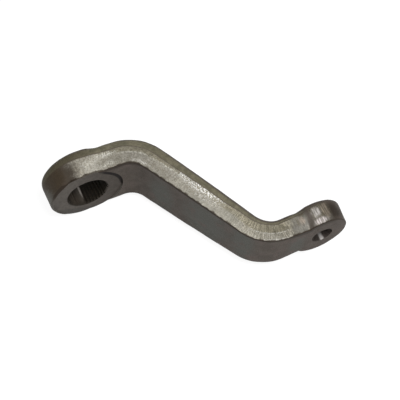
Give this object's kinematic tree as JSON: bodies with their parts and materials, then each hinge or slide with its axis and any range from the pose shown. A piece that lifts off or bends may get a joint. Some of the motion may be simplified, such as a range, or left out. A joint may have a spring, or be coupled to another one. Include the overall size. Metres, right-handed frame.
{
  "type": "pitman arm",
  "caption": "Dropped steering arm, a forged steel bar with two opposite bends, a splined hub at one end and a tapered hole for a ball stud at the other",
  "frame": {"origin": "on the axis of the splined bore, in the plane of the nut seat", "axes": "+Y along the splined bore, from the nut seat to the far face; +X towards the stud boss; +Z across the width of the bar, up as the arm lies on its side"},
  "size_m": [0.191, 0.1204, 0.0562],
  "materials": {
    "forged_steel": "dark forged scale on the faces, trimmed and ground side left in bare grey steel"
  },
  "bodies": {
    "root": {"pitman_arm": "forged_steel"}
  },
  "joints": []
}
